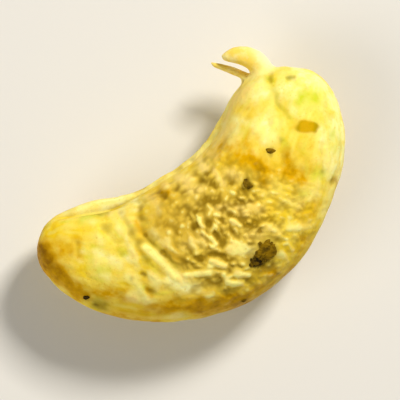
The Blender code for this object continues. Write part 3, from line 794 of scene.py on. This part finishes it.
        # Painted highlight along the left lip's lower face
        lip_highlight = LIP_HIGHLIGHT * self.sideways * self.left_lip * ramp(*LIP_HIGHLIGHT_Z, self.seam_height)
        olive = patch(self.x, self.y, OLIVE_PATCH)
        faint_olive = FAINT_OLIVE_SHARE * patch(self.x, self.y, FAINT_OLIVE_PATCH)
        on_kernel = {
            # Toast, and painted shade along the lower edge and at the narrow end
            "toast": (self.marked(TOAST_AND_EDGE_SHADE_MARKS) * seen + hidden["toast"]) * (1.0 - lip),
            "pale": (self.marked(PALE_AND_HIGHLIGHT_MARKS) + lip_highlight) * seen + hidden["pale"] + PALE_LIP * lip,
            "peach_and_highlight": self.marked(PEACH_AND_HIGHLIGHT_MARKS) * seen,
            "green": self.marked(GREEN_AND_CREASE_SHADE_MARKS) * seen + hidden["green"],
            "stain_and_shade": self.marked(STAIN_AND_SHADE_MARKS) * self.upper,
            "seam_shade_and_brown_tip": self.seam_shade_and_tip_share(),
            "belly": (olive + faint_olive) * (self.upper + UNDER_OLIVE_SHARE * self.under),
            "scrap": self.scrap,
            "scrap_end": ramp(*SCRAP_ENDS, self.scrap_along),
        }
        return {
            **{name: share * (1.0 - self.on_nib) for name, share in on_kernel.items()},
            # Painted shade and highlight of the fine relief
            "relief": self.relief_shade_share(),
            "nib": self.on_nib,
            "tip": ramp(*NIB_YELLOW_X, self.x) * self.on_nib,
            "fibre": self.noise["fibre"] * (1.0 - self.grainy) * (1.0 - FIBRE_CALM * olive) * self.upper,
        }


def added(name, data):
    """New object in the scene."""
    thing = bpy.data.objects.new(name, data)
    bpy.context.scene.collection.objects.link(thing)
    return thing


def applied(thing):
    """Replaces the mesh by the one that the modifiers make."""
    view = bpy.context.evaluated_depsgraph_get()
    mesh = bpy.data.meshes.new_from_object(thing.evaluated_get(view))
    thing.modifiers.clear()
    thing.data = mesh


def fine_copy(node):
    """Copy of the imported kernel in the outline's frame, with small even faces."""
    mesh = node.data.copy()
    mesh.transform(Matrix.Translation(-OUTLINE_MIDDLE) @ Matrix.Scale(1.0 / MM, 4))
    welded = bmesh.new()
    welded.from_mesh(mesh)
    bmesh.ops.remove_doubles(welded, verts=welded.verts, dist=WELD_DISTANCE)
    welded.to_mesh(mesh)
    welded.free()
    thing = added("kernel_skin", mesh)
    remesh = thing.modifiers.new("even faces", 'REMESH')
    remesh.mode = 'VOXEL'
    remesh.voxel_size = VOXEL_SIZE
    smooth = thing.modifiers.new("smooth", 'SMOOTH')
    smooth.factor = SMOOTH_FACTOR
    smooth.iterations = SMOOTH_ROUNDS
    finer = thing.modifiers.new("finer", 'SUBSURF')
    finer.levels = 1
    finer.render_levels = 1
    applied(thing)
    return thing


def make_kernel(node):
    """The kernel's skin with its fine relief, and the shares that colour it as attributes."""
    thing = fine_copy(node)
    mesh = thing.data
    places = np.array([vertex.co[:] for vertex in mesh.vertices])
    normals = np.array([vertex.normal[:] for vertex in mesh.vertices])
    skin = Skin(places, normals)
    raised = places + normals * skin.heights()[:, None]
    raised[:, 2] = np.maximum(raised[:, 2], -OUTLINE_MIDDLE.z)
    mesh.vertices.foreach_set("co", raised.ravel())
    shares = skin.shares()
    for name in SHARES:
        mesh.attributes.new(name, 'FLOAT', 'POINT')
        mesh.attributes[name].data.foreach_set("value", shares[name])
    mesh.update()
    mesh.shade_smooth()
    return thing


def new_material(name):
    """New material, its nodes and its shader."""
    material = bpy.data.materials.new(name)
    material.use_nodes = True
    return material, material.node_tree, material.node_tree.nodes["Principled BSDF"]


def set_inputs(node, values):
    """Gives inputs of a node their values, or links them to other nodes' outputs."""
    for key, value in values.items():
        if isinstance(value, bpy.types.NodeSocket):
            node.id_data.links.new(value, node.inputs[key])
        else:
            node.inputs[key].default_value = value


def outputs_of(tree, kind, inputs, **settings):
    """Outputs of a new node, with its inputs and some of its settings."""
    made = tree.nodes.new("ShaderNode" + kind)
    for key, value in settings.items():
        setattr(made, key, value)
    set_inputs(made, inputs)
    return made.outputs


def attribute(tree, name):
    """Share of that name, as the mesh carries it."""
    return outputs_of(tree, "Attribute", {}, attribute_name=name)["Fac"]


def noise_texture(tree, scale, detail, roughness):
    """Noise in the piece's own coordinates, in metres."""
    where = outputs_of(tree, "TexCoord", {})["Object"]
    inputs = {"Vector": where, "Scale": scale, "Detail": detail, "Roughness": roughness}
    return outputs_of(tree, "TexNoise", inputs)["Fac"]


def mapped(tree, value, low, high, to_low, to_high):
    """Value carried from one range to another, clamped."""
    inputs = {"Value": value, "From Min": low, "From Max": high, "To Min": to_low, "To Max": to_high}
    return outputs_of(tree, "MapRange", inputs)["Result"]


def calculated(tree, operation, first, second, clamp=False):
    """Sum, product or the greater of two values."""
    return outputs_of(tree, "Math", {0: first, 1: second}, operation=operation, use_clamp=clamp)["Value"]


def mixed(tree, share, first, second):
    """Colour between two colours, each a socket or four numbers."""
    inputs = {"Factor": share, MIX_FIRST: first, MIX_SECOND: second}
    return outputs_of(tree, "Mix", inputs, data_type='RGBA')[MIX_RESULT]


def layered(tree, colour, values, layers):
    """Colour under layers of others, each of which follows one of the values."""
    for source, begins, full, cover, layer in layers:
        colour = mixed(tree, mapped(tree, values[source], begins, full, 0.0, cover), colour, layer)
    return colour


def skin_colour(tree, values):
    """Colour of the kernel from its textures and its shares."""
    pale_breaks = mapped(tree, values["patches"], *PALE_BREAKS)
    toast_breaks = mapped(tree, values["mottle"], *TOAST_BREAKS)
    values["broken pale"] = calculated(tree, 'MULTIPLY', values["pale"], pale_breaks, clamp=True)
    values["broken toast"] = calculated(tree, 'MULTIPLY', values["toast"], toast_breaks)
    colour = layered(tree, LEMON, values, LOWER_LAYERS)

    # Painted highlights on the relief's crests, warm where the patches or the peach marks say, fewer where
    # toasted
    crest_highlights = mapped(tree, values["relief"], *CREST_HIGHLIGHTS)
    bare_crest_highlights = calculated(tree, 'MULTIPLY', crest_highlights, mapped(tree, values["toast"], *WITHOUT_TOAST))
    warm_highlights = calculated(tree, 'MAXIMUM', mapped(tree, values["patches"], *WARM_CREST_HIGHLIGHTS), values["peach_and_highlight"])
    colour = mixed(tree, bare_crest_highlights, colour, mixed(tree, warm_highlights, CREST_HIGHLIGHT, PEACH_HIGHLIGHT))
    colour = layered(tree, colour, values, UPPER_LAYERS)

    yellow = calculated(tree, 'MULTIPLY', values["tip"], mapped(tree, values["patches"], *NIB_BREAKS))
    yellow = calculated(tree, 'MAXIMUM', yellow, mapped(tree, values["mottle"], *NIB_SPOTS))
    colour = mixed(tree, values["nib"], colour, mixed(tree, yellow, CREAM, NIB_TIP))
    dark = calculated(tree, 'MAXIMUM', values["scrap_end"], mapped(tree, values["mottle"], *SCRAP_SPOTS))
    return mixed(tree, values["scrap"], colour, mixed(tree, dark, SCRAP, SCRAP_DARK))


def skin_material():
    """Lemon yellow skin, toasted gold in spots and painted gold shade along its lower edge, with painted
    highlights on its grains' crests, painted shade in their hollows, and a faint gloss.
    """
    material, tree, shader = new_material("kernel_skin")
    values = {name: attribute(tree, name) for name in SHARES}
    for name, texture in SKIN_TEXTURES.items():
        values[name] = noise_texture(tree, *texture)
    set_inputs(shader, {
        "Base Color": skin_colour(tree, values),
        "Roughness": mapped(tree, values["mottle"], *SKIN_ROUGHNESS),
        "Normal": outputs_of(tree, "Bump", {"Height": values["pores"], **PORES})["Normal"],
        **SKIN_FINISH,
    })
    return material


def herb_material():
    """Dried leaf, almost black to olive brown."""
    material, tree, shader = new_material("herb_flakes")
    change = mapped(tree, noise_texture(tree, *HERB_TEXTURE), *HERB_CHANGES)
    paleness = calculated(tree, 'ADD', attribute(tree, "shade"), change, clamp=True)
    set_inputs(shader, {"Base Color": mixed(tree, paleness, HERB_DARK, HERB_OLIVE), **HERB_FINISH})
    return material


def touch_from_above(tree, x, y):
    """Place and normal of the upper face at x and y."""
    return tree.ray_cast(Vector((x, y, RAY_START)), Vector((0.0, 0.0, -1.0)))[:2]


def touch_from_side(tree, along, turn):
    """Place and normal of the skin at a turn round the bow."""
    middle_y, slope = bow(along)
    to_hollow = Vector((-slope, 1.0, 0.0)).normalized()
    outward = to_hollow * math.cos(turn) + Vector((0.0, 0.0, math.sin(turn)))
    return tree.ray_cast(Vector((along, middle_y, 0.0)) + outward * RAY_START, -outward)[:2]


def ragged_rings(tree, place, normal, half_length, half_width, lie, draw, raised):
    """Points over and under a flake on the skin, ring by ring from within."""
    along = Vector((math.cos(lie), math.sin(lie), 0.0))
    along = (along - normal * along.dot(normal)).normalized()
    beside = normal.cross(along)
    waves = [(count, draw.uniform(*FLAKE_WAVE_SIZES) / count, draw.uniform(0.0, math.tau))
             for count in FLAKE_WAVES]
    tops = []
    bottoms = []
    for ring, thickness in FLAKE_RINGS:
        for index in range(FLAKE_SIDES):
            turn = math.tau * index / FLAKE_SIDES
            ragged = 1.0 + ring * sum(size * math.cos(count * turn + shift) for count, size, shift in waves)
            ragged = ragged * draw.uniform(*FLAKE_RAGGED)
            flat = place + along * (half_length * ring * ragged * math.cos(turn))
            flat = flat + beside * (half_width * ring * ragged * math.sin(turn))
            on_skin, over, _, _ = tree.find_nearest(flat)
            lift = raised + draw.uniform(*FLAKE_LIFTS)
            tops.append(on_skin + over * (thickness + lift))
            bottoms.append(on_skin + over * (lift - FLAKE_SUNK))
    return tops, bottoms


def add_flake(flakes, tree, place, normal, half_length, half_width, lie, shade, draw, raised=0.0):
    """Closed thin ragged flake that lies on the skin, thinner at its edge."""
    rings = ragged_rings(tree, place, normal, half_length, half_width, lie, draw, raised)
    tops, bottoms = ([flakes.verts.new(point) for point in points] for points in rings)
    top_middle = flakes.verts.new(place + normal * (raised + FLAKE_MIDDLE))
    bottom_middle = flakes.verts.new(place + normal * (raised - FLAKE_SUNK))
    rim = (len(FLAKE_RINGS) - 1) * FLAKE_SIDES
    for index in range(FLAKE_SIDES):
        after = (index + 1) % FLAKE_SIDES
        flakes.faces.new((top_middle, tops[index], tops[after]))
        flakes.faces.new((bottom_middle, bottoms[after], bottoms[index]))
        for inner in range(0, rim, FLAKE_SIDES):
            outer = inner + FLAKE_SIDES
            flakes.faces.new((tops[inner + index], tops[outer + index],
                              tops[outer + after], tops[inner + after]))
            flakes.faces.new((bottoms[inner + index], bottoms[inner + after],
                              bottoms[outer + after], bottoms[outer + index]))
        flakes.faces.new((tops[rim + index], bottoms[rim + index], bottoms[rim + after], tops[rim + after]))
    shades = flakes.verts.layers.float["shade"]
    for vertex in (*tops, *bottoms, top_middle, bottom_middle):
        vertex[shades] = shade


def add_heap(flakes, tree, draw):
    """Crumbs strewn along the heap's lines, darkest at its core."""
    for line in HEAP_LINES:
        points = pairs(line)
        for _ in range(HEAP_CRUMBS):
            piece = draw.randrange(len(points) - 1)
            share = draw.random()
            x, y = (chosen(limits, share) + draw.gauss(0.0, HEAP_SPREAD)
                    for limits in zip(points[piece], points[piece + 1]))
            place, normal = touch_from_above(tree, x, y)
            half_length = draw.uniform(*CRUMB_LENGTHS)
            half_width = half_length * draw.uniform(*CRUMB_PROPORTIONS)
            away = math.hypot(x - HEAP_CORE[0], y - HEAP_CORE[1])
            shade = HEAP_PALER * min(away, 1.0) + draw.uniform(*CRUMB_SHADES)
            lie = draw.uniform(0.0, math.pi)
            lift = draw.uniform(*CRUMB_LIFTS)
            add_flake(flakes, tree, place, normal, half_length, half_width, lie, shade, draw, lift)


def add_hidden_flakes(flakes, tree, draw):
    """A few flakes on the hidden sides, most of them small."""
    for _ in range(HIDDEN_FLAKES):
        along = draw.uniform(*HIDDEN_FLAKE_PLACES)
        place, normal = touch_from_side(tree, along, draw.uniform(*HIDDEN_FLAKE_TURNS))
        half_length = chosen(HIDDEN_FLAKE_LENGTHS, draw.random() ** 2)
        half_width = half_length * draw.uniform(*HIDDEN_FLAKE_PROPORTIONS)
        lie = draw.uniform(0.0, math.pi)
        add_flake(flakes, tree, place, normal, half_length, half_width, lie, draw.random(), draw)


def make_flakes(kernel_mesh):
    """Herb flakes on the skin: those on the upper face, the heap's crumbs, and the hidden ones."""
    draw = random.Random(SEED)
    body = bmesh.new()
    body.from_mesh(kernel_mesh)
    tree = BVHTree.FromBMesh(body)
    body.free()
    flakes = bmesh.new()
    flakes.verts.layers.float.new("shade")
    for x, y, half_length, half_width, lie, shade in FLAKES:
        place, normal = touch_from_above(tree, x, y)
        add_flake(flakes, tree, place, normal, half_length, half_width, math.radians(lie), shade, draw)
    add_heap(flakes, tree, draw)
    add_hidden_flakes(flakes, tree, draw)
    for vertex in flakes.verts:
        vertex.co.z = max(vertex.co.z, -OUTLINE_MIDDLE.z)
    mesh = bpy.data.meshes.new("herb_flakes")
    flakes.to_mesh(mesh)
    flakes.free()
    return added("herb_flakes", mesh)


def make_floor():
    """Plain pale floor."""
    mesh = bpy.data.meshes.new("floor")
    plane = bmesh.new()
    bmesh.ops.create_grid(plane, x_segments=1, y_segments=1, size=FLOOR_SIZE)
    plane.to_mesh(mesh)
    plane.free()
    material, _, shader = new_material("floor")
    set_inputs(shader, FLOOR_FINISH)
    mesh.materials.append(material)
    floor = added("floor", mesh)


def view_place(right, up, towards):
    """Place given by distances right, up and towards the camera from the kernel's middle."""
    return Matrix.Rotation(VIEW_ROLL, 3, 'Z') @ Vector((right, up, towards))


def make_camera():
    """Camera over the kernel."""
    camera = added("camera", bpy.data.cameras.new("camera"))
    camera.location = view_place(0.0, 0.0, VIEW_DISTANCE)
    camera.rotation_euler = (0.0, 0.0, VIEW_ROLL)
    camera.data.sensor_width = SENSOR_WIDTH
    camera.data.lens = SENSOR_WIDTH * (VIEW_DISTANCE - OUTLINE_MIDDLE.z * MM) / VIEW_WIDTH
    camera.data.clip_start = NEAREST_SEEN
    bpy.context.scene.camera = camera


def make_light(name, right, up, towards, size, power):
    """Soft square light that faces the kernel."""
    light = added(name, bpy.data.lights.new(name, 'AREA'))
    light.location = view_place(right, up, towards)
    aim = -light.location
    light.rotation_euler = aim.to_track_quat('-Z', 'Y').to_euler()
    light.data.size = size
    light.data.energy = power
    light.data.color = LIGHT_COLOUR


def make_lights():
    """The lights and the faint glow of the sky."""
    for name, settings in LIGHTS.items():
        make_light(name, *settings)
    world = bpy.data.worlds.new("studio")
    bpy.context.scene.world = world
    world.use_nodes = True
    set_inputs(world.node_tree.nodes["Background"], SKY)


make_camera()
kernel = make_kernel(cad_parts["kernel"])
flakes = make_flakes(kernel.data)
to_frame = Matrix.Scale(MM, 4) @ Matrix.Translation(OUTLINE_MIDDLE)
for piece, material in ((kernel, skin_material()), (flakes, herb_material())):
    piece.data.transform(to_frame)
    piece.data.materials.clear()
    piece.data.materials.append(material)
    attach(piece, "root")
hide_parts("kernel")

make_floor()
make_lights()
bpy.context.scene.view_settings.view_transform = 'Standard'
